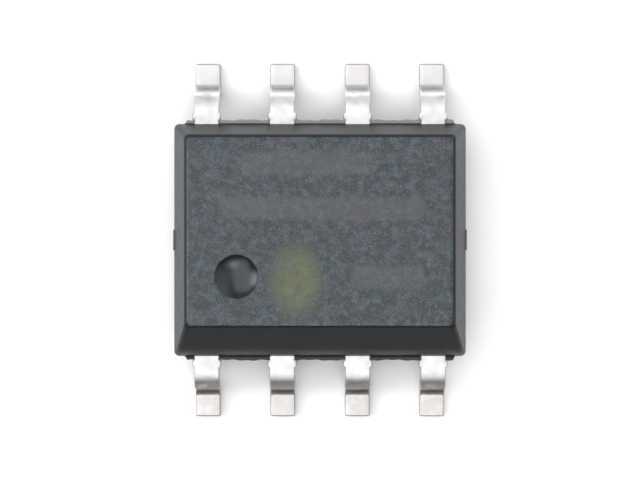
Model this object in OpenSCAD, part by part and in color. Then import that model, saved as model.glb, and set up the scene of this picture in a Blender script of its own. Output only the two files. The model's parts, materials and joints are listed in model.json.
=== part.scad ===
// Eight-lead small-outline chip: a moulded package with gull-wing leads, a copper leadframe,
// a silicon die and its bond wires. Millimetres.
// Origin: middle of the body, on the seating plane that the eight feet touch.
// +X runs along the lead rows, -Y is the side of leads 1 to 4, +Z is up.

/* [Moulded body] */
// Length of the body along the lead rows, at the parting band
body_length = 4.90; // [4.80:0.05:5.40]
// Width of the body between the lead rows, at the parting band
body_width = 3.90; // [3.80:0.05:4.00]
// Thickness of the body, from its underside to its top face
body_thickness = 1.45; // [1.35:0.05:1.65]
// Gap between the seating plane and the underside of the body
standoff = 0.15; // [0.10:0.01:0.25]
// Draft of the walls above the parting band, in degrees from vertical
top_draft = 18; // [5:1:20]
// Draft of the walls below the parting band, in degrees from vertical
bottom_draft = 12; // [5:1:18]
// Setback of the 45 degree bevel along the side of leads 1 to 4
bevel = 0.32; // [0.25:0.01:0.38]
// Radius of the edges round the top face, the bevel and the underside
edge_radius = 0.10; // [0.03:0.01:0.12]
// Leg of the small flat at each upright corner
corner_flat = 0.09; // [0.04:0.01:0.15]
// Reach of the resin ledge that filled the gap between the body and the dam bar
ledge_reach = 0.07; // [0.03:0.01:0.10]
// How far the faces of the ledge lie inside the faces of the leads
ledge_step = 0.02; // [0.01:0.005:0.05]

/* [Index dimple and ejector mark] */
// Diameter of the dimple beside lead 1
dimple_diameter = 0.75; // [0.50:0.05:0.90]
// Depth of the dimple
dimple_depth = 0.10; // [0.04:0.01:0.15]
// Distance from the end of the body to the middle of the dimple
dimple_from_end = 1.06; // [0.90:0.02:1.40]
// Distance from the side of the body to the middle of the dimple
dimple_from_side = 1.34; // [1.20:0.02:1.50]
// Diameter of the round mark that the ejector pin leaves in the underside
ejector_diameter = 1.00; // [0.80:0.05:1.30]
// Depth of the ejector mark
ejector_depth = 0.03; // [0.02:0.01:0.05]

/* [Outer leads] */
// Distance between neighbouring leads
lead_pitch = 1.27; // [1.20:0.01:1.27]
// Distance over the tips of the two rows of feet
lead_span = 6.00; // [5.90:0.05:6.20]
// Width of a lead
lead_width = 0.42; // [0.31:0.01:0.51]
// Thickness of the copper strip
lead_thickness = 0.20; // [0.17:0.01:0.25]
// Length of the flat sole of a foot
foot_flat = 0.32; // [0.28:0.01:0.40]
// Inside radius of both bends
bend_radius = 0.12; // [0.07:0.01:0.14]
// Outward lean of the leg between the bends, in degrees from vertical
leg_lean = 8; // [0:1:10]
// Width of the dam bar that was trimmed away beside the ledge
dam_bar_width = 0.12; // [0.08:0.01:0.14]
// How far each trimmed stump of the dam bar stands out of the lead's side
dam_bar_stump = 0.03; // [0.01:0.005:0.05]

/* [Inner leadframe] */
// Length of the paddle under the die
paddle_length = 2.60; // [2.30:0.05:2.70]
// Width of the paddle
paddle_width = 2.00; // [1.70:0.05:2.10]
// Depth that the paddle is pressed down below the leads
downset = 0.20; // [0.10:0.01:0.30]
// Length of the sloping part of each tie bar
downset_ramp = 0.25; // [0.15:0.01:0.35]
// Width of the tie bars
tie_width = 0.35; // [0.20:0.01:0.45]
// How far each cut tie bar stands out of the end of the body
tie_stub = 0.02; // [0.01:0.01:0.05]
// Gap from the inner leads to the paddle and to the tie bars
frame_gap = 0.20; // [0.12:0.01:0.25]
// Width of the flared tip of a middle lead
flare_width = 0.70; // [0.50:0.01:0.80]
// Depth of the flared tip before it narrows
flare_depth = 0.20; // [0.12:0.01:0.25]
// Diameter of the hole that anchors a corner lead in the resin
anchor_hole = 0.22; // [0.12:0.01:0.26]

/* [Die] */
// Length of the die
die_length = 1.70; // [1.20:0.05:1.90]
// Width of the die
die_width = 1.30; // [1.00:0.05:1.50]
// Thickness of the die
die_thickness = 0.25; // [0.15:0.01:0.30]
// Side of a square bond pad
pad_size = 0.09; // [0.08:0.005:0.12]
// Height of a bond pad above the die's face
pad_height = 0.004; // [0.002:0.001:0.008]
// Distance from the edge of the die to the middle of a bond pad
pad_inset = 0.10; // [0.08:0.01:0.15]
// Thickness of the adhesive under the die
glue_thickness = 0.03; // [0.02:0.005:0.05]
// Reach of the adhesive's fillet beyond the die
glue_fillet = 0.08; // [0.04:0.01:0.12]

/* [Bond wires] */
// Diameter of the wire
wire_diameter = 0.025; // [0.018:0.001:0.033]
// Height of the loop above the bond pad
loop_height = 0.16; // [0.12:0.01:0.20]
// Diameter of the ball bond on the die
ball_diameter = 0.07; // [0.05:0.005:0.08]
// Height of the ball bond
ball_height = 0.02; // [0.012:0.002:0.03]
// Diameter of the flattened stitch on the lead
stitch_diameter = 0.07; // [0.05:0.005:0.10]
// Thickness of the stitch
stitch_height = 0.008; // [0.005:0.001:0.012]
// Distance from the edge of a lead's tip to the middle of the stitch
stitch_inset = 0.12; // [0.08:0.01:0.18]

/* [Hidden] */
$fn = 48;
lead_count = 8;
fillet_steps = 4;         // flats in a rounded edge of the body
bend_steps = 8;           // flats in a bend of a lead
wire_sides = 8;
wire_rings = 12;
body_colour = [0.16, 0.17, 0.18];
tin_colour = [0.80, 0.81, 0.82];
copper_colour = [0.72, 0.45, 0.30];
silicon_colour = [0.35, 0.36, 0.45];
glue_colour = [0.75, 0.75, 0.72];
gold_colour = [0.90, 0.72, 0.30];

// Heights of the body and of the copper strip, which leaves it at half its thickness
underside = standoff;
top_face = underside + body_thickness;
band_bottom = underside + (body_thickness - lead_thickness) / 2;
band_top = band_bottom + lead_thickness;
paddle_bottom = band_bottom - downset;
paddle_top = paddle_bottom + lead_thickness;
die_bottom = paddle_top + glue_thickness;
die_top = die_bottom + die_thickness;
pad_top = die_top + pad_height;

// How far the drafted walls lean in by the time they reach the top face and the underside
top_lean = (top_face - band_top) * tan(top_draft);
bottom_lean = (band_bottom - underside) * tan(bottom_draft);

// Lines that the leads and wires share, in the quadrant where x and y are positive
middle_x = lead_pitch / 2;
corner_x = lead_pitch * 3 / 2;
middle_tip_y = paddle_width / 2 + frame_gap;
corner_tip_y = tie_width / 2 + frame_gap;
corner_tip_x = paddle_length / 2 + frame_gap;
body_side = body_width / 2;
lead_tip = lead_span / 2;
lead_root = body_side - lead_width / 2;      // inside the resin, where strip and plate join

// ---------- Outlines ----------

function unit(v) = v / norm(v);
function turned(v, a) = [v.x * cos(a) - v.y * sin(a), v.x * sin(a) + v.y * cos(a)];

// The arc of radius r that rounds the corner b between the edges to a and c
function corner_arc(a, b, c, r, steps) =
    let (
        u = unit(a - b),
        v = unit(c - b),
        half = acos(u * v) / 2,
        centre = b + unit(u + v) * r / sin(half),
        start = b + u * r / tan(half) - centre,
        sweep = -sign(cross(u, v)) * (180 - 2 * half)
    )
    [for (i = [0:steps]) centre + turned(start, sweep * i / steps)];

// A closed outline whose corners are rounded, each by its own radius, 0 for a sharp one
function rounded(corners, radii, steps) =
    let (n = len(corners))
    [for (i = [0:n - 1])
        each radii[i] == 0
            ? [corners[i]]
            : corner_arc(corners[(i + n - 1) % n], corners[i], corners[(i + 1) % n], radii[i], steps)];

// ---------- Moulded body ----------

// Section of the body across a pair of walls that stand half_width from the middle at the band,
// with its edges rounded by r. stretch is 1 for a straight pair of walls, and the root of 2 for
// a pair across two corners, whose draft has to lean in by that much more.
function wall_section(half_width, stretch, r) =
    rounded(
        [
            [half_width, band_bottom],
            [half_width, band_top],
            [half_width - top_lean * stretch, top_face],
            [-half_width + top_lean * stretch, top_face],
            [-half_width, band_top],
            [-half_width, band_bottom],
            [-half_width + bottom_lean * stretch, underside],
            [half_width - bottom_lean * stretch, underside]
        ],
        [0, 0, r, r, 0, 0, r, r],
        fillet_steps
    );

// The same section with the bevel in place of its top corner on the side of leads 1 to 4
function bevelled_section(half_width) =
    let (
        r = edge_radius,
        drop = bevel / (1 - tan(top_draft)),
        bevel_top = -half_width + top_lean + bevel
    )
    rounded(
        [
            [half_width, band_bottom],
            [half_width, band_top],
            [half_width - top_lean, top_face],
            [bevel_top, top_face],
            [bevel_top - drop, top_face - drop],
            [-half_width, band_top],
            [-half_width, band_bottom],
            [-half_width + bottom_lean, underside],
            [half_width - bottom_lean, underside]
        ],
        [0, 0, r, r, r, 0, 0, r, r],
        fillet_steps
    );

// A section in Y and Z, run along X for the whole length of the body and a little more
module along_x(outline) {
    run = body_length + body_width;
    rotate([90, 0, 90]) translate([0, 0, -run / 2]) linear_extrude(run) polygon(outline);
}

// The drafted block with its bevel and its flat corners
module drafted_block() {
    across_corners = (body_length + body_width) / 2 - corner_flat;
    intersection() {
        along_x(bevelled_section(body_width / 2));
        rotate([0, 0, 90]) along_x(wall_section(body_length / 2, 1, edge_radius));
        rotate([0, 0, 45]) along_x(wall_section(across_corners / sqrt(2), sqrt(2), 0));
        rotate([0, 0, -45]) along_x(wall_section(across_corners / sqrt(2), sqrt(2), 0));
    }
}

// Resin left between the leads where the dam bar held it back, a little thinner than they are.
// It stops short of the flats at the body's corners.
module resin_ledge() {
    length = body_length - 4 * corner_flat;
    depth = body_width + 2 * ledge_reach;
    thickness = lead_thickness - 2 * ledge_step;
    translate([-length / 2, -depth / 2, band_bottom + ledge_step]) cube([length, depth, thickness]);
}

// Round dimple that marks lead 1: a shallow bowl, pressed by a mould pin with a rounded end.
// A ball of this radius sinks dimple_depth deep where its cut is dimple_diameter across.
module index_dimple() {
    half = dimple_diameter / 2;
    bowl_radius = (half * half + dimple_depth * dimple_depth) / (2 * dimple_depth);
    translate([
        dimple_from_end - body_length / 2,
        dimple_from_side - body_width / 2,
        top_face - dimple_depth + bowl_radius
    ])
        sphere(bowl_radius);
}

module ejector_mark() {
    below = 0.05;
    translate([0, 0, underside - below]) cylinder(h = ejector_depth + below, d = ejector_diameter);
}

// The resin is moulded round everything else, so its inside is their exact negative
module mould_body() color(body_colour)
    difference() {
        union() {
            drafted_block();
            resin_ledge();
        }
        index_dimple();
        ejector_mark();
        die_paddle();
        die_attach();
        silicon_die();
        for (n = [1:lead_count]) {
            lead(n);
            bond_wire(n);
        }
    }

// ---------- Leads ----------

function is_corner(n) = n % 4 <= 1;

// Places what is drawn where x and y are positive in the quadrant of lead n, counted
// anticlockwise from the corner where x and y are both negative
module in_quadrant_of(n) {
    left = n <= 2 || n >= 7;
    front = n <= 4;
    mirror([left ? 1 : 0, 0, 0]) mirror([0, front ? 1 : 0, 0]) children();
}

// Side view of the formed strip, from its root in the resin to the tip of its foot.
// Its corners are the mitres of the two bends, on the upper and then the lower face.
function gull_wing() =
    let (
        mitre = tan((90 - leg_lean) / 2),
        outer = bend_radius + lead_thickness,
        toe_bend = lead_tip - foot_flat - bend_radius * mitre,
        heel = toe_bend - lead_thickness * mitre,
        rise = band_bottom * tan(leg_lean)
    )
    rounded(
        [
            [lead_root, band_top],
            [toe_bend - rise, band_top],
            [toe_bend, lead_thickness],
            [lead_tip, lead_thickness],
            [lead_tip, 0],
            [heel, 0],
            [heel - rise, band_bottom],
            [lead_root, band_bottom]
        ],
        [0, outer, bend_radius, 0, 0, outer, bend_radius, 0],
        bend_steps
    );

// The formed strip, width wide, centred on x = 0
module formed_strip(width)
    rotate([90, 0, 90]) translate([0, 0, -width / 2]) linear_extrude(width) polygon(gull_wing());

// The strip with the stumps where the dam bar was trimmed off its sides
module outer_lead() {
    formed_strip(lead_width);
    stumps = lead_width + 2 * dam_bar_stump;
    intersection() {
        formed_strip(stumps);
        translate([-stumps, body_side + ledge_reach, 0]) cube([2 * stumps, dam_bar_width, top_face]);
    }
}

// Plan of the flat inner part of a middle lead, with a flared tip that the resin grips
function middle_plan() =
    let (
        half = lead_width / 2,
        flare = flare_width / 2,
        shoulder = middle_tip_y + flare_depth,
        neck = shoulder + flare - half
    )
    [
        [middle_x - half, body_side], [middle_x - half, neck],
        [middle_x - flare, shoulder], [middle_x - flare, middle_tip_y],
        [middle_x + flare, middle_tip_y], [middle_x + flare, shoulder],
        [middle_x + half, neck], [middle_x + half, body_side]
    ];

// Plan of the flat inner part of a corner lead, which reaches in beside the paddle
function corner_plan() =
    let (
        inner = corner_x - lead_width / 2,
        outer = corner_x + lead_width / 2
    )
    [
        [inner, body_side], [inner, middle_tip_y + inner - corner_tip_x],
        [corner_tip_x, middle_tip_y], [corner_tip_x, corner_tip_y],
        [outer, corner_tip_y], [outer, body_side]
    ];

module inner_plate(outline)
    translate([0, 0, band_bottom]) linear_extrude(lead_thickness) polygon(outline);

module anchor_bore()
    translate([corner_x, middle_tip_y, band_bottom - lead_thickness])
        cylinder(h = 3 * lead_thickness, d = anchor_hole);

module lead(n) color(tin_colour) in_quadrant_of(n) {
    if (is_corner(n))
        difference() {
            union() {
                inner_plate(corner_plan());
                translate([corner_x, 0, 0]) outer_lead();
            }
            anchor_bore();
        }
    else {
        inner_plate(middle_plan());
        translate([middle_x, 0, 0]) outer_lead();
    }
}

// ---------- Paddle, adhesive and die ----------

// Side view of one tie bar, from its cut end down the ramp to the paddle
function tie_bar_section() =
    let (
        tip = body_length / 2 + tie_stub,
        ramp_foot = paddle_length / 2,
        ramp_head = ramp_foot + downset_ramp,
        root = ramp_foot - lead_thickness
    )
    [
        [tip, band_top], [ramp_head, band_top], [ramp_foot, paddle_top], [root, paddle_top],
        [root, paddle_bottom], [ramp_foot, paddle_bottom], [ramp_head, band_bottom], [tip, band_bottom]
    ];

module tie_bar()
    translate([0, tie_width / 2, 0]) rotate([90, 0, 0]) linear_extrude(tie_width) polygon(tie_bar_section());

module die_paddle() color(copper_colour) {
    translate([-paddle_length / 2, -paddle_width / 2, paddle_bottom])
        cube([paddle_length, paddle_width, lead_thickness]);
    tie_bar();
    mirror([1, 0, 0]) tie_bar();
}

module die_slab()
    translate([-die_length / 2, -die_width / 2, die_bottom]) cube([die_length, die_width, die_thickness]);

// A block whose four walls slope in at 45 degrees, standing on the paddle
module glue_wedge() {
    height = glue_thickness + glue_fillet;
    module slope(length)
        rotate([90, 0, 90]) translate([0, paddle_top, -die_length]) linear_extrude(2 * die_length)
            polygon([
                [-length / 2 - height, 0], [length / 2 + height, 0],
                [length / 2, height], [-length / 2, height]
            ]);
    intersection() {
        slope(die_width);
        rotate([0, 0, 90]) slope(die_length);
    }
}

// Adhesive under the die, squeezed out into a fillet that climbs its four sides
module die_attach() color(glue_colour)
    difference() {
        glue_wedge();
        die_slab();
    }

// Middle of the bond pad for lead n, in the quadrant where x and y are positive. The pads of
// corner leads stand on the short sides of the die, and those of middle leads on the long sides.
function pad_middle(n) = is_corner(n)
    ? [die_length / 2 - pad_inset, die_width / 4]
    : [die_length / 6, die_width / 2 - pad_inset];

module silicon_die() color(silicon_colour) {
    die_slab();
    for (n = [1:lead_count])
        in_quadrant_of(n)
            translate([pad_middle(n).x - pad_size / 2, pad_middle(n).y - pad_size / 2, die_top])
                cube([pad_size, pad_size, pad_height]);
}

// ---------- Bond wires ----------

// Middle of the stitch on the inner tip of lead n, in the same quadrant
function stitch_middle(n) = is_corner(n)
    ? [corner_tip_x + stitch_inset, (corner_tip_y + middle_tip_y) / 2]
    : [middle_x, middle_tip_y + stitch_inset];

// Cubic curve through the loop: up from the ball, over, and down to the stitch.
// x is the distance from the ball along the wire's run, y is the height above the lead's face.
// A cubic climbs to about three quarters of its two middle points, so they stand 4/3 as high.
function loop_point(run, rise, t) =
    let (
        crest = rise + loop_height * 4 / 3,
        start = [0, rise + ball_height / 2],
        up = [0, crest],
        over = [run / 3, crest],
        end = [run, 0]
    )
    start * pow(1 - t, 3) + up * 3 * t * pow(1 - t, 2) + over * 3 * t * t * (1 - t) + end * pow(t, 3);

// One ring of the wire's skin, square to the loop at t, whose direction is taken a small step
// to either side
function wire_ring(run, rise, t) =
    let (
        step = 0.001,
        centre = loop_point(run, rise, t),
        ahead = unit(loop_point(run, rise, t + step) - loop_point(run, rise, t - step)),
        up = [-ahead.y, ahead.x]
    )
    [for (k = [0:wire_sides - 1])
        let (a = 360 * k / wire_sides, r = wire_diameter / 2)
        [centre.x + up.x * r * cos(a), r * sin(a), centre.y + up.y * r * cos(a)]];

// The rings joined into one closed skin
module wire_loop(run, rise) {
    points = [for (i = [0:wire_rings]) each wire_ring(run, rise, i / wire_rings)];
    sides = wire_sides;
    last = wire_rings * sides;
    skin = [for (i = [0:wire_rings - 1], k = [0:sides - 1])
        let (a = i * sides, b = a + sides, next = (k + 1) % sides)
        each [[a + k, a + next, b + k], [a + next, b + next, b + k]]];
    caps = [
        [for (k = [0:sides - 1]) sides - 1 - k],
        [for (k = [0:sides - 1]) last + k]
    ];
    polyhedron(points, concat(skin, caps));
}

// Wire, ball and stitch are one drawn piece, from the bond pad to the face of the lead
module bond_wire(n) color(gold_colour) in_quadrant_of(n) {
    from = pad_middle(n);
    to = stitch_middle(n);
    run = norm(to - from);
    rise = pad_top - band_top;
    below = 2 * wire_diameter;
    translate([from.x, from.y, band_top]) rotate([0, 0, atan2(to.y - from.y, to.x - from.x)]) {
        translate([0, 0, rise]) cylinder(h = ball_height, d = ball_diameter);
        translate([run, 0, 0]) cylinder(h = stitch_height, d = stitch_diameter);
        difference() {
            wire_loop(run, rise);
            translate([run / 2, -below, -below]) cube([run, 2 * below, below]);
        }
    }
}

// ---------- Nodes ----------

mould_body();
die_paddle();
die_attach();
silicon_die();
for (n = [1:lead_count]) {
    lead(n);
    bond_wire(n);
}
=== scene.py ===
# %% [markdown]
# # A small-outline chip, dressed for the camera
#
# The solids of this chip are already worked out: a moulded body, eight formed leads, and the
# copper, silicon and gold sealed inside it. They are exact, but they are also perfectly sharp and
# perfectly even, and nothing made in a press is. This lesson puts the missing millimetre's last
# hundredth back: soft edges, a grain in the resin, plating that dulls where it was bent.
#
# Everything is in metres, as Blender likes it, and the chip is six millimetres long. So a
# named millimetre comes first, and every size below is written with it.

# %% Load the frame
import json

import bpy
import numpy as np
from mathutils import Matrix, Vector

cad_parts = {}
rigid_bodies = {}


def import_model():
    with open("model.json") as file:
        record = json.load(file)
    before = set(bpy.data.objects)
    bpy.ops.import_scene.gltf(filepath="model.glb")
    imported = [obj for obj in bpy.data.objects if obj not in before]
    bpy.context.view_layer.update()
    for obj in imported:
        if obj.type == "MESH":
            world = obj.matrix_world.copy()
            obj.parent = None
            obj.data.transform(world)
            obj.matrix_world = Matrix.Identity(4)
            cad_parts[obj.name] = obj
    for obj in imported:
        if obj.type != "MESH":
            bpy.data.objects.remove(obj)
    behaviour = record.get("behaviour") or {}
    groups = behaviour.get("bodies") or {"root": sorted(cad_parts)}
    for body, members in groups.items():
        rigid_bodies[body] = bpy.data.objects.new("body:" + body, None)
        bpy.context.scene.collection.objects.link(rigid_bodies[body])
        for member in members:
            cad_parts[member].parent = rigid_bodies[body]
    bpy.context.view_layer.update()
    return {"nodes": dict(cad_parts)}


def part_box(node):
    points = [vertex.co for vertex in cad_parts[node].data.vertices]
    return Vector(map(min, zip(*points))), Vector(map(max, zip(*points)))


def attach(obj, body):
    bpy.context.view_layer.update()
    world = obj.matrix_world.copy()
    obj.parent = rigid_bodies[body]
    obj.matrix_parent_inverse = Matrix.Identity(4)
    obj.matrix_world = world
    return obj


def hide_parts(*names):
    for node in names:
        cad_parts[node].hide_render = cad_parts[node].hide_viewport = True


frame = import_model()
mm = 0.001
print("solids in the frame:", len(frame["nodes"]))

# %% [markdown]
# ## Measuring the solids
#
# The pieces built here stand where the solids stand, so the large sizes are read from the frame
# and only the small ones, which a box can't tell, are stated. Reading them means that a
# longer or taller body would be followed without touching this file. Each lead has an inner tip,
# sealed in the resin, and the start of a lead is that tip's distance from the middle of the body.

# %% Sizes read from the frame
body_low, body_high = (np.array(corner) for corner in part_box("mould_body"))
lead_low, lead_high = (np.array(corner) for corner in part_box("lead_3"))
corner_lead_low, _ = (np.array(corner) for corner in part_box("lead_5"))
_, die_high = (np.array(corner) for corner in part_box("silicon_die"))

underside, top_face = body_low[2], body_high[2]
body_end = body_high[0]
lead_face = lead_high[2]
lead_tip = -lead_low[1]
middle_x = (lead_low[0] + lead_high[0]) / 2
corner_x = 3 * middle_x
middle_start = -lead_high[1]
corner_start = corner_lead_low[1]
print(f"body {2 * body_end / mm:.2f} mm long and {top_face / mm:.2f} mm high")
print(f"lead pitch {2 * middle_x / mm:.2f} mm, span over the feet {2 * lead_tip / mm:.2f} mm")

# %% Sizes that a box can't tell
lead_thickness = 0.20 * mm
lead_width = 0.42 * mm
ledge_reach = 0.07 * mm
body_side = body_high[1] - ledge_reach
band_top = lead_face
band_bottom = lead_face - lead_thickness
print(f"body {2 * body_side / mm:.2f} mm wide")
print(f"parting band from {band_bottom / mm:.3f} to {band_top / mm:.3f} mm")

# %% [markdown]
# ## One mesh recipe for every piece
#
# A lead and the body look nothing alike, but both are skins wrapped round a line: rows of points
# that each run once round the piece. Give the recipe a grid of rows and columns, and it joins
# each row to the next, closes the columns into a loop, and shuts both ends with a fan to a single
# middle point. The result is watertight, and it faces outward as long as the columns run
# anticlockwise seen from the end of the last row.

# %% The skin recipe
def skin_faces(rows, columns):
    """Quads between neighbouring rows, the last column joined to the first, and two end fans.

    Point (i, j) has the number i * columns + j. The two middle points follow the grid."""
    i, j = np.meshgrid(np.arange(rows - 1), np.arange(columns), indexing="ij")
    here, beside = i * columns + j, i * columns + (j + 1) % columns
    quads = np.stack([here, beside, beside + columns, here + columns], -1)
    k = np.arange(columns)
    start, end = rows * columns, rows * columns + 1
    last = (rows - 1) * columns
    first_fan = np.stack([np.full(columns, start), (k + 1) % columns, k], -1)
    last_fan = np.stack([np.full(columns, end), last + k, last + (k + 1) % columns], -1)
    return quads.reshape(-1, 4).tolist() + first_fan.tolist() + last_fan.tolist()


def skin(name, grid):
    """A closed, smooth-shaded object from a (rows, columns, 3) grid of points."""
    rows, columns, _ = grid.shape
    ends = np.stack([grid[0].mean(0), grid[-1].mean(0)])
    points = np.concatenate([grid.reshape(-1, 3), ends])
    mesh = bpy.data.meshes.new(name)
    mesh.from_pydata(points.tolist(), [], skin_faces(rows, columns))
    mesh.validate()
    mesh.polygons.foreach_set("use_smooth", np.ones(len(mesh.polygons), bool))
    piece = bpy.data.objects.new(name, mesh)
    bpy.context.scene.collection.objects.link(piece)
    return piece


def volume_inside(piece):
    """Signed volume of a closed mesh: the sum of its triangles' corner products, over six."""
    mesh = piece.data
    mesh.calc_loop_triangles()
    points = np.empty(len(mesh.vertices) * 3)
    mesh.vertices.foreach_get("co", points)
    corners = np.empty(len(mesh.loop_triangles) * 3, int)
    mesh.loop_triangles.foreach_get("vertices", corners)
    a, b, c = points.reshape(-1, 3)[corners.reshape(-1, 3)].transpose(1, 0, 2)
    return np.einsum("ij,ij->i", a, np.cross(b, c)).sum() / 6


print("a skin of 3 rows and 8 columns has", len(skin_faces(3, 8)), "faces")

# %% [markdown]
# ## Rounded rectangles, as columns
#
# Cut the body level, or cut a lead square across, and the cut is the same figure: a rectangle
# with rounded corners. A column is one place on that figure. It is kept as two fractions, which
# say where the column stands along the sides, and a unit arrow, which says which way the
# corner's arc pushes it out. Any size of rectangle is then one line of arithmetic for
# every column at once.

# %% Columns of a rounded rectangle
def rectangle_columns(along, across, corner):
    """(a, b, p, q) of each column, anticlockwise from the right side's lower end.

    a and b run from -1 to 1 over the corner centres. (p, q) is the arc's direction. A column
    stands at x = a * (half_length - r) + p * r and y = b * (half_width - r) + q * r."""
    turn = np.linspace(0, np.pi / 2, corner + 1)
    side_up = np.linspace(-1, 1, across + 1)[:-1]
    side_left = np.linspace(1, -1, along + 1)[:-1]
    a, b, angle = [], [], []
    for quarter, (sx, sy) in enumerate([(1, 1), (-1, 1), (-1, -1), (1, -1)]):
        side = side_up if quarter % 2 == 0 else side_left
        flip = 1 if quarter < 2 else -1
        a += [np.full(across, sx) if quarter % 2 == 0 else flip * side, np.full(corner, sx)]
        b += [flip * side if quarter % 2 == 0 else np.full(along, sy), np.full(corner, sy)]
        angle += [np.full(len(side), quarter * np.pi / 2), turn[:-1] + quarter * np.pi / 2]
    a, b, angle = (np.concatenate(part) for part in (a, b, angle))
    return a, b, np.cos(angle), np.sin(angle)


print("columns of a 4 by 2 rectangle with 3 steps a corner:", len(rectangle_columns(4, 2, 3)[0]))

# %% [markdown]
# ## The moulded body
#
# The resin is pressed into two steel halves that meet at the leadframe. To let go of the
# block, each half leans its walls inward, which is called draft, and its edges are not
# quite sharp. One long side also has a bevel, which marks the side of the first leads.
#
# A block like this could be a cube with a Bevel modifier. But draft, bevel and rounded edges
# all meet at the corners, and a modifier makes a muddle of that. Here the block is a stack of
# level cuts instead. At each height a formula says how far the four walls stand out.

# %% How far a wall stands out
top_draft = np.radians(18)
bottom_draft = np.radians(12)
bevel_slope = np.radians(45)
bevel = 0.32 * mm
edge = 0.10 * mm
blend = 0.06 * mm


def wall(depth, foot, slope, radius):
    """Reach of a wall that leans by slope and meets a flat face in a rounded edge.

    Below the edge it is foot + depth * tan(slope), where foot is the reach at no depth. Within
    the edge it follows a circle of that radius, tangent to the wall and to the flat face."""
    middle = foot + radius * np.tan(slope) - radius / np.cos(slope)
    arc = middle + np.sqrt(np.maximum(radius**2 - (radius - depth) ** 2, 0))
    return np.where(depth < radius * (1 - np.sin(slope)), arc, foot + depth * np.tan(slope))


def smooth_min(a, b, width):
    """The smaller of a and b, with a parabola of that width where they cross."""
    return np.minimum(a, b) - np.maximum(width - np.abs(a - b), 0) ** 2 / (4 * width)


top_lean = (top_face - band_top) * np.tan(top_draft)
bottom_lean = (band_bottom - underside) * np.tan(bottom_draft)
print(f"the top face lies {top_lean / mm:.2f} mm inside the parting band")
print(f"the underside lies {bottom_lean / mm:.2f} mm inside it")

# %% [markdown]
# The rows of the grid are not spread evenly. They crowd where the surface turns, which is
# round the edges, and thin out where it is flat. A row just inside each edge keeps the shading
# of the flat part flat.

# %% Level cuts through the block
edge_steps, upper_steps, lower_steps = 8, 29, 7
edge_depths = edge * (1 - np.cos(np.linspace(0, np.pi / 2, edge_steps + 1)))
upper_straight = np.linspace(edge, top_face - band_top, upper_steps + 1)[1:]
lower_straight = np.linspace(edge, band_bottom - underside, lower_steps + 1)[1:]
upper_depths = np.concatenate([edge_depths, upper_straight])
lower_depths = np.concatenate([edge_depths, lower_straight])[::-1]

upper_end = wall(upper_depths, body_end - top_lean, top_draft, edge)
upper_back = wall(upper_depths, body_side - top_lean, top_draft, edge)
upper_front = smooth_min(
    wall(upper_depths, body_side - top_lean - bevel, bevel_slope, edge), upper_back, blend
)
lower_end = wall(lower_depths, body_end - bottom_lean, bottom_draft, edge)
lower_side = wall(lower_depths, body_side - bottom_lean, bottom_draft, edge)
print("level cuts above the band:", len(upper_depths), "and below it:", len(lower_depths))

# %% [markdown]
# Between the two rows of leads, a dam bar once kept the resin from running out along the
# strip. It was cut away after moulding, and what had filled the gap up to it is still there:
# a thin ledge, a little thinner than the leads. It was broken off rather than moulded, so
# its edge wanders a little. Noise would do, but two sines of different lengths are enough.

# %% Cuts at the parting band, with the ledge
corner_round = 0.09 * mm
body_columns = rectangle_columns(along=150, across=90, corner=8)
a, b, p, q = body_columns
ledge_end = body_end - 2 * corner_round
fade_length = 0.03 * mm
long_wave, short_wave = 0.11 * mm, 0.037 * mm


def level_cut(end, front, back, height, out=0.0):
    """Rows of the body at these heights: rounded rectangles that reach end, front and back.

    The long sides are pushed out by out times the ledge's reach, which wanders by two sines of x
    and fades away at the ledge's two ends."""
    columns = np.broadcast_arrays(*np.atleast_1d(end, front, back, height, out))
    end, front, back, height, out = (column[:, None] for column in columns)
    r = corner_round
    x = a * (end - r) + p * r
    middle = (back - front) / 2
    y = middle + b * ((back + front) / 2 - r) + q * r
    wander = 1 + 0.10 * np.sin(x / long_wave) + 0.07 * np.sin(x / short_wave)
    fade = np.clip((ledge_end - np.abs(x)) / fade_length, 0, 1)
    y = y + out * fade * wander * ledge_reach * np.round(q)
    return np.stack(np.broadcast_arrays(x, y, height), -1)


ledge_thinner = 0.02 * mm
ledge_edge = 0.012 * mm
ledge_half = lead_thickness / 2 - ledge_thinner
edge_half = ledge_half - ledge_edge
band_middle = (band_top + band_bottom) / 2
band_heights = band_middle + np.array([1, 1, 0, 0, -1, -1]) * ledge_half
band_heights += np.array([0, 0, 1, -1, 0, 0]) * edge_half
ledge_share = [0, 0.8, 1, 1, 0.8, 0]
upper_rows = level_cut(upper_end, upper_front, upper_back, top_face - upper_depths)
band_rows = level_cut(body_end, body_side, body_side, band_heights, ledge_share)
lower_rows = level_cut(lower_end, lower_side, lower_side, underside + lower_depths)
print("one row has", len(a), "columns")

# %% [markdown]
# The top face is flat but for one round dimple, a shallow bowl that marks the first lead.
# Rays from the dimple's middle to the rim of the face give each column its direction, so the
# same columns that run round the block also run round the dimple, and no cutting tool is
# needed. The underside is the same, with the mark of the ejector pin that pushed the block out.
#
# Each sink is then only a profile: how far out a row stands, and how deep.

# %% Profiles of the two sinks
lip_rows, bowl_rows, floor_rows = 6, 16, 5


def lip(radius, slope, soft):
    """(reach, fall) of an arc that joins a wall of that slope to the flat face round it."""
    bend = np.linspace(slope, 0, lip_rows)
    return radius + soft * np.tan(slope / 2) - soft * np.sin(bend), soft * (1 - np.cos(bend))


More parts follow.
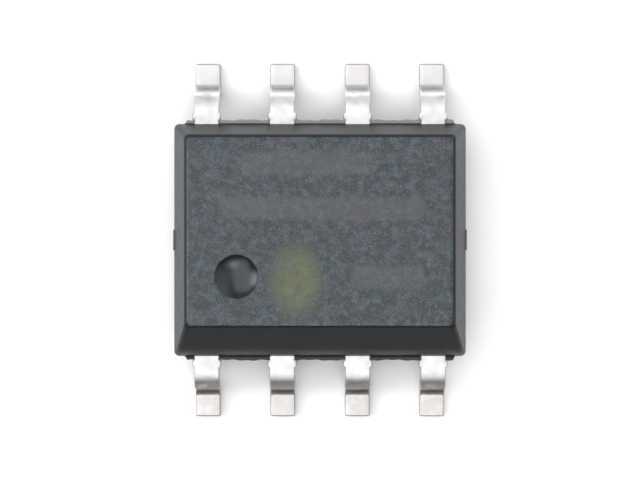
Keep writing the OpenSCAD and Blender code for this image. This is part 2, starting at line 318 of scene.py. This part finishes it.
def bowl(radius, depth, soft):
    """(reach, fall) of a shallow bowl, from near its middle to its lip.

    A ball's cap with this radius and depth climbs to twice arctan(depth / radius) at its rim."""
    slope = 2 * np.arctan(depth / radius)
    ball = radius / np.sin(slope)
    rim_reach, rim_fall = lip(radius, slope, soft)
    bend = np.linspace(0.05, 0.98, bowl_rows) * np.arcsin(rim_reach[0] / ball)
    reach = np.concatenate([ball * np.sin(bend), rim_reach])
    return reach, np.concatenate([depth - ball * (1 - np.cos(bend)), rim_fall])


def pin_mark(radius, depth, soft):
    """(reach, fall) of a flat-floored mark with an upright wall."""
    rim_reach, rim_fall = lip(radius, np.pi / 2, soft)
    floor = np.linspace(0.1, 0.98, floor_rows) * radius
    reach = np.concatenate([floor, [rim_reach[0]], rim_reach])
    return reach, np.concatenate([np.full(floor_rows + 1, depth), rim_fall])


dimple_radius, dimple_depth, dimple_lip = 0.375 * mm, 0.10 * mm, 0.03 * mm
mark_radius, mark_depth, mark_lip = 0.50 * mm, 0.03 * mm, 0.01 * mm
dimple_profile = bowl(dimple_radius, dimple_depth, dimple_lip)
mark_profile = pin_mark(mark_radius, mark_depth, mark_lip)
rim_slope = np.degrees(2 * np.arctan(dimple_depth / dimple_radius))
print(f"the dimple's wall climbs at {rim_slope:.0f} degrees at its rim")

# %% Flat faces with a round sink
def sink(rim, centre, reach, fall, face, sign):
    """Rows from the middle of a round sink, up its wall and across the face to its rim.

    Each row keeps the direction of the rim's columns. sign is 1 where the sink goes down from
    a top face, and -1 where it goes up into an underside."""
    ray = rim[:, :2] - centre
    distance = np.linalg.norm(ray, axis=1)
    direction = ray / distance[:, None]
    share = np.array([0.03, 0.25, 0.5, 0.75, 0.95, 0.99])[:, None]
    across = reach[-1] + (distance - reach[-1]) * share
    size = (len(reach), len(ray))
    reach, fall = (np.broadcast_to(column[:, None], size) for column in (reach, fall))
    reach = np.concatenate([reach, across])
    fall = np.concatenate([fall, np.zeros_like(across)])
    plan = centre + reach[..., None] * direction
    return np.concatenate([plan, (face - sign * fall)[..., None]], -1)


dimple_from_end, dimple_from_side = 1.06 * mm, 1.34 * mm
dimple_centre = np.array([dimple_from_end - body_end, dimple_from_side - body_side])
dimple_rows = sink(upper_rows[0], dimple_centre, *dimple_profile, top_face, 1)
ejector_rows = sink(lower_rows[-1], np.zeros(2), *mark_profile, underside, -1)[::-1]
print("rows of the dimple and top face:", len(dimple_rows))

# %% The moulded body's skin
body_grid = np.concatenate([dimple_rows, upper_rows, band_rows, lower_rows, ejector_rows])[::-1]
moulded_body = skin("moulded_body", body_grid)
volume = volume_inside(moulded_body) / mm**3
print(f"moulded body: {volume:.2f} mm3, {len(moulded_body.data.polygons)} faces")

# %% [markdown]
# ## The gull-wing leads
#
# A lead starts as a flat strip, stamped out of a sheet of copper. A press then folds it twice:
# down beside the body, and out again into a foot. The folding leaves the strip's length as it
# was, so the lead is drawn flat first, and the flat drawing is carried along a bent line.
#
# The line is three straight runs and two arcs. Its angle is the running sum of its turning,
# and its place is the running sum of its direction, so two cumulative sums bend it.

# %% The bent line of a lead
foot_flat = 0.32 * mm
bend_radius = 0.12 * mm
lean = np.radians(8)
turn = np.pi / 2 - lean
mid_radius = bend_radius + lead_thickness / 2
mid_height = lead_face - lead_thickness / 2
toe_bend = lead_tip - foot_flat - bend_radius * np.tan(turn / 2)
ankle = toe_bend - lead_thickness / 2 * np.tan(turn / 2)
knee = ankle - band_bottom * np.tan(lean)
tangent = mid_radius * np.tan(turn / 2)
line_points = 8001


def strip_line(start):
    """(distance, y, z, angle) tables of a lead's middle line, from its inner tip at y = start.

    The angle falls by one turn over the first arc and rises by it over the second. y and z are
    the sums of the angle's cosine and sine along the way. marks are the distances at which the
    runs and arcs begin and end."""
    plate = knee - tangent - start
    arc = mid_radius * turn
    leg = np.hypot(ankle - knee, mid_height - lead_thickness / 2) - 2 * tangent
    foot = lead_tip - ankle - tangent
    marks = np.concatenate([[0], np.cumsum([plate, arc, leg, arc, foot])])
    distance = np.linspace(0, marks[-1], line_points)
    angle = np.interp(distance, marks, [0, 0, -turn, -turn, 0, 0])
    step = distance[1]
    halfway = (angle[1:] + angle[:-1]) / 2
    y = start + np.concatenate([[0], np.cumsum(np.cos(halfway)) * step])
    z = mid_height + np.concatenate([[0], np.cumsum(np.sin(halfway)) * step])
    return distance, y, z, angle, marks


line = strip_line(middle_start)
print(f"the strip is {line[0][-1] / mm:.2f} mm long")
print(f"its end stands at y {line[1][-1] / mm:.3f} mm, z {line[2][-1] / mm:.3f} mm")

# %% [markdown]
# The flat drawing is two edges, each a list of places where the strip gets wider or
# narrower. A middle lead flares at its inner tip, so that the resin can hold it. A corner
# lead reaches in past the paddle, with one straight edge and one that steps aside. Both have
# small stumps beside the ledge, where the dam bar was cut off.

# %% The flat drawing of a lead
stump = 0.03 * mm
stump_start = body_side + ledge_reach
stump_length = 0.12 * mm
stump_end = stump_start + stump_length
cut = 0.006 * mm
half = lead_width / 2
outer_places = [stump_start, stump_start + cut, stump_end - cut, stump_end]
outer_halves = [half, half + stump, half + stump, half]

flare = (lead_high[0] - lead_low[0]) / 2
flare_length = 0.20 * mm
flare_end = middle_start + flare_length
neck = flare_end + flare - half
middle_places = [middle_start, flare_end, neck, *outer_places]
middle_halves = [flare, flare, half, *outer_halves]

corner_reach = corner_x - corner_lead_low[0]
corner_step = middle_start + corner_reach - half
corner_places = [corner_start, middle_start, corner_step, *outer_places]
corner_inner = [corner_reach, corner_reach, half, *outer_halves]
corner_outer = [half, half, half, *outer_halves]
print(f"a middle lead reaches in to y {middle_start / mm:.2f} mm")
print(f"a corner lead reaches in to y {corner_start / mm:.2f} mm")

# %% [markdown]
# Each row of the lead's grid is a rounded rectangle again, this time standing square across
# the bent line. Its corner radius is the little roll that stamping leaves. The two signs send
# the same lead to any of its four quarters. Where one sign mirrors it, the columns are
# run backwards, or the skin would be inside out.

# %% Carrying the drawing along the line
roll = 0.022 * mm
lead_columns = rectangle_columns(along=6, across=4, corner=5)
bend_rows, plate_rows = 17, 12


def lead_grid(start, places, toward_middle, toward_end, x, sx, sy):
    """The lead's rows, in the quarter that the signs sx and sy give.

    A point is the line's place, plus x across it, plus the section's height along the line's
    upward normal, which is (-sin, cos) of its angle."""
    distance, y, z, angle, marks = strip_line(start)
    knee_rows = np.linspace(marks[1], marks[2], bend_rows)
    ankle_rows = np.linspace(marks[3], marks[4], bend_rows)
    plate = np.linspace(0, marks[1], plate_rows)
    edge_rows = np.array(places) - start
    ends = np.array([0, 0.3, 1, 1.3]) * roll
    rows = np.concatenate([knee_rows, ankle_rows, plate, edge_rows, ends, marks[-1] - ends])
    rows = np.unique(rows)
    inner_half = np.interp(rows + start, places, toward_middle)
    outer_half = np.interp(rows + start, places, toward_end)
    from_end = np.clip(np.minimum(rows, marks[-1] - rows) / roll, 0, 1)
    swell = np.sqrt(1 - (1 - from_end) ** 2)
    a, b, p, q = lead_columns
    centre = (outer_half - inner_half) / 2
    width = (outer_half + inner_half) / 2
    across = centre[:, None] + a * (width[:, None] - roll) + p * roll * swell[:, None]
    up = b * (lead_thickness / 2 - roll) + q * roll * swell[:, None]
    at = np.interp(rows, distance, angle)[:, None]
    out_y = np.interp(rows, distance, y)[:, None] - up * np.sin(at)
    out_z = np.interp(rows, distance, z)[:, None] + up * np.cos(at)
    grid = np.stack([sx * (x + across), sy * out_y, out_z], -1)
    return grid if sx * sy < 0 else grid[:, ::-1]


trial = lead_grid(middle_start, middle_places, middle_halves, middle_halves, middle_x, 1, 1)
print("a middle lead has", trial.shape[0], "rows of", trial.shape[1], "columns")

# %% [markdown]
# A corner lead has a round hole through its inner plate. Resin fills it and pins the lead in
# place. A hole changes how many loops the piece has, which a plain grid can't do, so
# it is the one shape here that is drilled: a thin drill is made, a Boolean modifier
# takes it away, and the result is kept as the lead's own mesh.

# %% Drilling the anchor hole
drill_sides = 32


def drill_hole(lead, x, y, diameter):
    """Takes an upright round drill out of the lead, and keeps what is left as its mesh."""
    angle = np.linspace(0, 2 * np.pi, drill_sides + 1)[:-1]
    circle = np.stack([x + diameter / 2 * np.cos(angle), y + diameter / 2 * np.sin(angle)], -1)
    heights = np.array([band_bottom - lead_thickness, band_top + lead_thickness])
    rings = [np.concatenate([circle, np.full((drill_sides, 1), h)], 1) for h in heights]
    drill = skin("drill", np.stack(rings))
    cutter = lead.modifiers.new("anchor_hole", "BOOLEAN")
    cutter.operation, cutter.solver, cutter.object = "DIFFERENCE", "EXACT", drill
    finished = lead.evaluated_get(bpy.context.evaluated_depsgraph_get())
    drilled = bpy.data.meshes.new_from_object(finished)
    lead.modifiers.clear()
    lead.data = drilled
    bpy.data.objects.remove(drill)


anchor_hole = 0.22 * mm
print(f"the hole is {anchor_hole / mm:.2f} mm across, in a plate {2 * half / mm:.2f} mm wide")

# %% All the leads
corner_lead = (corner_start, corner_places, corner_inner, corner_outer, corner_x)
middle_lead = (middle_start, middle_places, middle_halves, middle_halves, middle_x)
at_left_end, in_front_row, at_corners = (1, 2, 7, 8), (1, 2, 3, 4), (1, 4, 5, 8)
leads = {}
for number in range(1, 9):
    sx = -1 if number in at_left_end else 1
    sy = -1 if number in in_front_row else 1
    grid = lead_grid(*(corner_lead if number in at_corners else middle_lead), sx, sy)
    leads[number] = skin(f"formed_lead_{number}", grid)
    if number in at_corners:
        drill_hole(leads[number], sx * corner_x, sy * middle_start, anchor_hole)
for number in (1, 2):
    volume = volume_inside(leads[number]) / mm**3
    print(f"lead {number}: {volume:.4f} mm3, {len(leads[number].data.polygons)} faces")

# %% [markdown]
# ## Writing finishes as arithmetic
#
# A finish is a sum of small effects: a grain, a stain, a mask that says where. Wiring them by
# hand makes a web that nobody can read. So one class stands for a number that changes over
# the surface, and adding or multiplying two of them places the Math node that does it.

# %% Numbers that change over a surface
class Number:
    """One output of a node tree. Sums, differences, products and quotients of it add Math nodes."""

    def __init__(self, nodes, socket):
        self.nodes, self.socket = nodes, socket

    def math(self, operation, *values, clamp=False):
        sockets = dict(enumerate(values))
        return self.nodes.node("ShaderNodeMath", {"operation": operation, "use_clamp": clamp}, sockets)

    def __add__(self, other):
        return self.math("ADD", self, other)

    def __sub__(self, other):
        return self.math("SUBTRACT", self, other)

    def __rsub__(self, other):
        return self.math("SUBTRACT", other, self)

    def __mul__(self, other):
        return self.math("MULTIPLY", self, other)

    def __truediv__(self, other):
        return self.math("DIVIDE", self, other)

    def __abs__(self):
        return self.math("ABSOLUTE", self)

    __radd__, __rmul__ = __add__, __mul__

    def rises(self, low, high):
        """0 below low, 1 above high and a straight ramp between, or falls if low is the higher."""
        return self.math("MULTIPLY", self - low, 1 / (high - low), clamp=True)


print("a rise from 0.2 to 0.6 is one subtraction and one product with", round(1 / (0.6 - 0.2), 3))

# %% [markdown]
# The second class holds the node tree itself. One method adds any node, sets it and joins its
# sockets. The others are only short names for what every finish needs: a place on the piece, a
# plain field, a cloud of noise, a mix of two colours and a bump.

# %% The nodes behind the numbers
class Nodes:
    """A node tree, and the one method that adds any node to it."""

    def __init__(self, tree):
        self.tree = tree
        tree.nodes.clear()

    def node(self, kind, settings=None, sockets=None, out=0):
        """A new node's output, or the node itself where it has none."""
        made = self.tree.nodes.new(kind)
        for key, value in (settings or {}).items():
            setattr(made, key, value)
        for key, value in (sockets or {}).items():
            if isinstance(value, Number):
                self.tree.links.new(value.socket, made.inputs[key])
            else:
                made.inputs[key].default_value = value
        return Number(self, made.outputs[out]) if len(made.outputs) else made

    def position(self):
        """The place on the piece, in millimetres."""
        place = self.node("ShaderNodeTexCoord", out="Object")
        return self.node("ShaderNodeVectorMath", {"operation": "SCALE"}, {0: place, "Scale": 1 / mm})

    def parts(self, vector):
        """The x, y and z of a vector, as three numbers."""
        split = self.tree.nodes.new("ShaderNodeSeparateXYZ")
        self.tree.links.new(vector.socket, split.inputs[0])
        return [Number(self, socket) for socket in split.outputs]

    def stretched(self, vector, x, y, z):
        """The vector with its three parts multiplied by x, y and z."""
        return self.node("ShaderNodeVectorMath", {"operation": "MULTIPLY"}, {0: vector, 1: (x, y, z)})

    def field(self, x, y, left, right, front, back):
        """1 inside a plain rectangle and 0 outside it, with edges that are 0.08 mm soft."""
        soft = 0.08
        inside_x = x.rises(left, left + soft) * x.rises(right, right - soft)
        return inside_x * y.rises(front, front + soft) * y.rises(back, back - soft)

    def length(self, x, y):
        """How far the point (x, y) lies from (0, 0)."""
        arrow = self.node("ShaderNodeCombineXYZ", {}, {0: x, 1: y})
        return self.node("ShaderNodeVectorMath", {"operation": "LENGTH"}, {0: arrow}, out="Value")

    def noise(self, vector, scale, detail=2.0, roughness=0.5):
        """Cloudy noise from 0 to 1, with about scale lumps a millimetre."""
        inputs = {"Vector": vector, "Scale": scale, "Detail": detail, "Roughness": roughness}
        return self.node("ShaderNodeTexNoise", {}, inputs)

    def mix(self, share, first, second):
        """The first colour where share is 0, and the second where it is 1."""
        colours = {0: share, 6: first, 7: second}
        return self.node("ShaderNodeMix", {"data_type": "RGBA"}, colours, out=2)

    def bump(self, height, distance):
        """Normals tilted as if the surface rose by height * distance."""
        return self.node("ShaderNodeBump", {}, {"Height": height, "Distance": distance}, out="Normal")


print("short names for nodes:", ", ".join(name for name in vars(Nodes) if name[0] != "_"))

# %% [markdown]
# Every finish here ends the same way, with one Principled shader. What is even all over a piece
# is written on the shader's own socket, and only what changes over its surface gets nodes.

# %% One shader for every finish
def finish(name):
    """A new material's nodes, and a function that ends it with a Principled shader."""
    material = bpy.data.materials.new(name)
    material.use_nodes = True
    nodes = Nodes(material.node_tree)

    def shade(**inputs):
        named = {key.replace("_", " "): value for key, value in inputs.items()}
        shader = nodes.node("ShaderNodeBsdfPrincipled", {}, named)
        nodes.node("ShaderNodeOutputMaterial", {}, {"Surface": shader})
        return material

    return nodes, shade


def grey(value, warmth=0.0):
    """A grey as a colour; a positive warmth leans it to red, a negative one to blue."""
    return (value * (1 + warmth), value, value * (1 - warmth), 1.0)


print("a cool grey:", grey(0.5, -0.1))

# %% [markdown]
# ## Moulding compound
#
# The black of a chip is epoxy, filled with fused silica until it is nearly all glass beads. Soot
# makes it dark, and it has almost no colour of its own: what is seen on its top face is a
# dull mirror of the light above. So the base is close to black and the roughness does the work.
# One flat black would pass for rubber or paint, so noise of five sizes is laid over it, and each
# stands for one thing that can be seen: grain, specks, stains, blotches and clouds.
#
# The silica gives it a grain of a few hundredths of a millimetre, and the top face, which a
# ground steel plate pressed, is mottled in faint blue and brown. The stains and the silica specks
# are held almost wholly to the top face, so the walls and the bevel stay darker: that is painted
# shade. Where a maker's laser would write, the top is only a little browner: here it holds three
# plain faint bars and one plain olive spot, and no writing. The broken ledge is paler, as broken
# resin is, and it is painted darker towards the front, which is painted shade.
# The dimple's pin was polished, so the dimple is smoother than the rest.

# %% The moulding compound
grain_height = 0.004 * mm
pale_soot, deep_soot = grey(0.003, -0.05), grey(0.001, -0.08)
blue_stain, brown_stain = (0.029, 0.041, 0.046, 1), (0.030, 0.021, 0.029, 1)
silica_speck, broken_resin = grey(0.083, 0.02), grey(0.18, 0.08)
bar_brown, spot_olive = (0.051, 0.048, 0.041, 1), (0.077, 0.083, 0.020, 1)


def moulding_compound():
    nodes, shade = finish("moulding_compound")
    place = nodes.position()
    x, y, z = nodes.parts(place)
    grain = nodes.noise(place, 26, 3.0, 0.6)
    fine = nodes.noise(place, 42, 1.0)
    clouds = nodes.noise(place, 1.6, 2.0)
    blotches = nodes.noise(place, 5.5, 3.0, 0.6)
    mottle = nodes.noise(place, 9, 3.0, 0.6)

    top = top_face / mm
    on_top = z.rises(top - 0.012, top - 0.006)
    bars = nodes.field(x, y, -1.35, 0.85, 1.05, 1.50) + nodes.field(x, y, -1.70, 1.75, 0.30, 0.75)
    bars = bars + nodes.field(x, y, 0.50, 1.75, -0.85, -0.40)
    bars = bars * on_top * (0.5 + 0.5 * blotches)
    from_spot = nodes.length((x + 0.40) / 0.44, (y + 0.68) / 0.60)
    olive = on_top * (from_spot + mottle).rises(1.65, 1.05) * blotches.rises(0.20, 0.55)
    from_dimple = nodes.length(x - dimple_centre[0] / mm, y - dimple_centre[1] / mm)
    pressed = from_dimple.rises(dimple_radius / mm, dimple_radius / mm - 0.04)
    pressed = pressed * z.rises(top - 0.20, top - 0.15)

    in_band = z.rises(band_bottom / mm - 0.004, band_bottom / mm)
    in_band = in_band * z.rises(band_top / mm + 0.004, band_top / mm)
    broken = in_band * abs(y).rises(body_side / mm + 0.005, body_side / mm + 0.02)

    # Stains and specks are held almost wholly to the top face. On the top they are the pressed plate's
    # mottle; keeping them off the walls and bevel paints those darker, which is painted shade.
    pressed_top_and_side_shade = 0.02 + 0.98 * on_top
    resin = nodes.mix(clouds.rises(0.35, 0.65), deep_soot, pale_soot)
    stains = 0.15 + 0.85 * mottle.rises(0.45, 0.70)
    resin = nodes.mix(pressed_top_and_side_shade * stains, resin, blue_stain)
    resin = nodes.mix(pressed_top_and_side_shade * blotches.rises(0.48, 0.30), resin, brown_stain)
    resin = nodes.mix(pressed_top_and_side_shade * fine.rises(0.58, 0.80), resin, silica_speck)
    resin = nodes.mix(bars * 0.55, resin, bar_brown)
    resin = nodes.mix(olive * 0.60, resin, spot_olive)
    # The broken ledge is paler, and its paleness fades out towards the front: painted shade on the front
    # ledge.
    resin = nodes.mix(broken * y.rises(-2.6, 1.5) * 0.8, resin, broken_resin)
    rough = 0.28 + 0.08 * grain + 0.10 * blotches + 0.20 * broken - 0.12 * pressed
    height = nodes.bump((grain + 0.35 * fine) * (1 - 0.8 * pressed), grain_height)
    return shade(Base_Color=resin, Roughness=rough, Normal=height, IOR=1.44,
                 Specular_Tint=(0.84, 0.93, 1.0, 1.0))


resin_finish = moulding_compound()
print("the moulding compound takes", len(resin_finish.node_tree.nodes), "nodes")

# %% [markdown]
# ## Matte tin
#
# The leads are plated with tin, which keeps them fit to solder. Matte tin is a pale, frosted
# metal. The tool that folds the legs drags along them and rubs the frost smooth. On the legs the
# back row is painted paler, which is a painted highlight, and the front row darker and browner,
# which is painted shade. The back row's feet are painted duller, also painted shade. The very
# tip was sheared off after plating, and bare copper shows on that cut.
#
# The marks could be drawn on each lead by hand. One noise, fine across the leads and long along
# them, gives every lead marks of its own from a single rule, and the height on the lead says
# where the tool rubs the frost smooth and where the legs carry their painted highlight and shade.

# %% The matte tin
frost_height = 0.0012 * mm
dark_frost, pale_frost = grey(0.43, 0.01), grey(0.53, 0.01)
# Painted light: a paler tin for the painted highlight on the back legs, a darker, browner tin for the
# painted shade on the front legs, and a dull tin for painted shade on the back feet.
burnished_and_lit_tin, front_leg_shade_tin = grey(0.78, 0.01), (0.183, 0.164, 0.154, 1)
sole_shade_tin, cut_copper = grey(0.30, 0.01), (0.50, 0.30, 0.20, 1)


def matte_tin():
    nodes, shade = finish("matte_tin")
    place = nodes.position()
    _, y, z = nodes.parts(place)
    frost = nodes.noise(place, 60, 2.0)
    drag = nodes.noise(nodes.stretched(place, 34, 3, 3), 1.0, 3.0)
    patches = nodes.noise(place, 5, 2.0)

    leg = z.rises(0.10, 0.30) * z.rises(lead_face / mm - 0.02, lead_face / mm - 0.12)
    front_row = y.rises(0.5, -0.5)
    # The back row's feet are painted duller: painted shade that holds their highlight down.
    back_sole_shade = z.rises(0.27, 0.20) * (1 - front_row)
    # The back row's legs are painted paler, a painted highlight, and the front row's legs darker and
    # browner, which is painted shade.
    leg_highlight_and_shade = nodes.mix(front_row, burnished_and_lit_tin, front_leg_shade_tin)
    sheared = abs(y).rises(lead_tip / mm - 0.004, lead_tip / mm - 0.001) * patches.rises(0.30, 0.45)

    metal = nodes.mix(patches.rises(0.3, 0.7), dark_frost, pale_frost)
    metal = nodes.mix(leg * patches.rises(0.15, 0.50), metal, leg_highlight_and_shade)
    metal = nodes.mix(back_sole_shade * 0.8, metal, sole_shade_tin)
    metal = nodes.mix(sheared * 0.8, metal, cut_copper)
    rough = 0.50 - 0.28 * leg + 0.10 * frost + 0.10 * drag
    height = nodes.bump(frost + 0.8 * drag, frost_height)
    return shade(Base_Color=metal, Roughness=rough, Metallic=1.0, Normal=height)


tin_finish = matte_tin()
print("the matte tin takes", len(tin_finish.node_tree.nodes), "nodes")

# %% [markdown]
# ## What is sealed inside
#
# Only the cut ends of the two tie bars ever see daylight, and the air has turned them a dull
# brown. The rest is never seen on a whole chip, but it has its own finishes, so that the model
# can be taken apart: bare copper with the marks of rolling, a silver-filled glue, silicon with
# its pattern and pads, and gold.

# %% Copper and glue
rolling_height, flake_height = 0.001 * mm, 0.003 * mm


def bare_copper():
    nodes, shade = finish("bare_copper")
    place = nodes.position()
    rolling = nodes.noise(nodes.stretched(place, 1.5, 30, 1.5), 1.0, 3.0)
    tarnish = nodes.noise(place, 3, 3.0).rises(0.35, 0.7)
    x = nodes.parts(place)[0]
    open_air = abs(x).rises(body_end / mm - 0.03, body_end / mm - 0.01)
    copper = nodes.mix(tarnish, (0.80, 0.46, 0.32, 1), (0.42, 0.25, 0.18, 1))
    copper = nodes.mix(open_air, copper, (0.15, 0.12, 0.10, 1))
    rough = 0.28 + 0.25 * rolling + 0.25 * open_air
    height = nodes.bump(rolling, rolling_height)
    return shade(Base_Color=copper, Roughness=rough, Metallic=1.0, Normal=height)


def silver_glue():
    nodes, shade = finish("silver_glue")
    flakes = nodes.noise(nodes.position(), 45, 2.0)
    glue = nodes.mix(flakes, grey(0.50, 0.03), grey(0.72, 0.03))
    return shade(Base_Color=glue, Roughness=0.62 - 0.2 * flakes, Metallic=0.4,
                 Normal=nodes.bump(flakes, flake_height))


sealed_finishes = {"die_paddle": bare_copper(), "die_attach": silver_glue()}
print("finished so far:", ", ".join(sealed_finishes))

# %% [markdown]
# A die's pattern is far finer than the eye can part, so it is seen as blocks of slightly
# different sheen. Square cells stand for the blocks, and the pads are told by their height: they
# stand a few thousandths of a millimetre above the face. Drawn gold is even, and its noise is so
# fine that it only breaks up the highlight.

# %% Silicon and gold
def polished_silicon():
    nodes, shade = finish("polished_silicon")
    place = nodes.position()
    z = nodes.parts(place)[2]
    square_cells = {"distance": "CHEBYCHEV"}
    cells = nodes.node("ShaderNodeTexVoronoi", square_cells, {"Vector": place, "Scale": 7.0}, out="Color")
    block = nodes.parts(cells)[0]
    pad_top = die_high[2] / mm
    face = z.rises(pad_top - 0.006, pad_top - 0.005)
    pad = z.rises(pad_top - 0.0025, pad_top - 0.0015)
    silicon = nodes.mix(block * face, (0.13, 0.14, 0.20, 1), (0.34, 0.30, 0.42, 1))
    silicon = nodes.mix(pad, silicon, grey(0.85))
    return shade(Base_Color=silicon, Roughness=0.12 + 0.25 * pad, Metallic=0.75 + 0.25 * pad)


def drawn_gold():
    nodes, shade = finish("drawn_gold")
    drawn = nodes.noise(nodes.position(), 120, 1.0)
    gold = nodes.mix(drawn, (0.92, 0.66, 0.24, 1), (1.0, 0.78, 0.36, 1))
    return shade(Base_Color=gold, Roughness=0.18 + 0.1 * drawn, Metallic=1.0)


sealed_finishes["silicon_die"] = polished_silicon()
gold_finish = drawn_gold()
sealed_finishes |= {f"bond_wire_{number}": gold_finish for number in leads}
print("finishes for sealed solids:", len(set(sealed_finishes.values())))

# %% [markdown]
# ## Handing the pieces over
#
# Each new skin takes the place of its solid, rides on the chip's one body, and gets its finish.
# The sealed solids stay as they are and only get their finishes.

# %% Pieces take the place of their solids
def dress(piece, node, material):
    piece.data.materials.clear()
    piece.data.materials.append(material)
    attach(piece, "root")
    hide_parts(node)


dress(moulded_body, "mould_body", resin_finish)
for number, lead in leads.items():
    dress(lead, f"lead_{number}", tin_finish)
for node, material in sealed_finishes.items():
    solid = frame["nodes"][node]
    solid.data.materials.clear()
    solid.data.materials.append(material)
print("dressed pieces:", 1 + len(leads), "and sealed solids:", len(sealed_finishes))

# %% [markdown]
# ## Floor
#
# The chip lies on plain white paper. A backdrop that curves up behind is the usual way, but it
# serves one side only. This floor is one flat face, so much larger than the chip that no view
# finds its edge close by, and it has the faint unevenness of paper so that the soft shadows
# have something to lie on.

# %% The paper floor
floor_half = 400 * mm
floor_mesh = bpy.data.meshes.new("paper_floor")
floor_corners = floor_half * np.array([(-1, -1, 0), (1, -1, 0), (1, 1, 0), (-1, 1, 0)])
floor_mesh.from_pydata(floor_corners.tolist(), [], [(0, 1, 2, 3)])
paper_floor = bpy.data.objects.new("paper_floor", floor_mesh)
bpy.context.scene.collection.objects.link(paper_floor)
nodes, shade = finish("white_paper")
fibres = nodes.noise(nodes.position(), 1.2, 4.0)
paper = nodes.mix(fibres, grey(0.64), grey(0.68))
floor_mesh.materials.append(shade(Base_Color=paper, Roughness=0.85))
print(f"the floor is {2 * floor_half:.1f} m across")

# %% [markdown]
# ## Light
#
# A black, dull object is lit by what it mirrors. A wide softbox above, a little to the left,
# gives the top face its even grey. The bevel mirrors the floor and the front horizon, where there
# is almost no light, so it stays dark. A window high on the left throws the short shadows to the
# right of the leads and lights the dimple's right side. A white card high on the right softens
# those shadows and lights the dimple's left side, and a tall bright back wall lights the
# dimple's lower edge and makes the back legs paler than the front ones. A small bright card
# high in front puts one spot of light into the dimple.
#
# The two lamps are real lamps, because they throw the shadows. The ceiling, the walls and the
# cards could be lamps too, but each would add noise to the picture. They are only a brightness
# for each direction that a ray may leave in, and the camera itself sees plain white there.

# %% The two soft lamps
def soft_lamp(name, place, width, height, watts, tint):
    """A rectangular lamp at a place, turned to face the middle of the chip."""
    data = bpy.data.lights.new(name, "AREA")
    data.shape, data.size, data.size_y = "RECTANGLE", width, height
    data.energy, data.color = watts, tint
    lamp = bpy.data.objects.new(name, data)
    lamp.location = place
    lamp.rotation_euler = (chip_middle - lamp.location).to_track_quat("-Z", "Y").to_euler()
    lamp.visible_camera = False
    bpy.context.scene.collection.objects.link(lamp)


chip_middle = Vector((0, 0, top_face / 2))
soft_lamp("overhead_softbox", (-0.40, -0.06, 1.50), width=2.60, height=1.40, watts=34.5,
          tint=(1.0, 0.985, 1.0))
soft_lamp("left_window", (-1.20, 0.12, 1.00), width=0.80, height=0.60, watts=11.3,
          tint=(0.98, 1.0, 0.99))
lamps = [thing for thing in bpy.context.scene.objects if thing.type == "LIGHT"]
print("lamps:", ", ".join(lamp.name for lamp in lamps))

# %% The room
world = bpy.data.worlds.new("pale_room")
bpy.context.scene.world = world
world.use_nodes = True
nodes = Nodes(world.node_tree)
to_right, to_back, up = nodes.parts(nodes.node("ShaderNodeTexCoord", out="Generated"))
ceiling = up.rises(0.40, 0.75)
back_wall = up.rises(0.90, 0.50) * to_back.rises(0.1, 0.5)
left_wall = up.rises(0.55, 0.15) * to_right.rises(-0.1, -0.9)
right_card = to_right.rises(0.12, 0.40) * up.rises(0.25, 0.45) * to_back.rises(-0.6, -0.1)
front_card = up.rises(0.72, 0.80) * to_back.rises(-0.40, -0.48)
front_card = front_card * to_right.rises(-0.15, 0.0) * to_right.rises(0.45, 0.30)
room = 0.06 + 0.30 * ceiling + 0.75 * back_wall + 0.30 * left_wall
room = room + 1.6 * right_card + 5.0 * front_card
seen = nodes.node("ShaderNodeLightPath", out="Is Camera Ray")
strength = room + seen * (1 - room)
background = nodes.node("ShaderNodeBackground", {}, {"Color": (1, 1, 1, 1), "Strength": strength})
nodes.node("ShaderNodeOutputWorld", {}, {"Surface": background})
bpy.context.scene.view_settings.view_transform = "Standard"
print("nodes that light the room:", len(world.node_tree.nodes))

# %% [markdown]
# ## Camera
#
# The view is straight down, with the first lead at the lower left. A long lens from far off keeps
# the walls from spreading, as in a picture taken from well above.

# %% The camera straight above
camera_data = bpy.data.cameras.new("straight_above")
camera_data.lens, camera_data.sensor_width = 200, 36
camera_data.clip_start, camera_data.clip_end = 1 * mm, 1000 * mm
camera = bpy.data.objects.new("straight_above", camera_data)
view_height = 8.2 * mm
half_view = view_height / 2 * 640 / 480
half_angle_tangent = camera_data.sensor_width / 2 / camera_data.lens
camera.location = (0, 0, half_view / half_angle_tangent)
bpy.context.scene.collection.objects.link(camera)
bpy.context.scene.camera = camera
print(f"the camera is {camera.location.z / mm:.0f} mm above the floor")
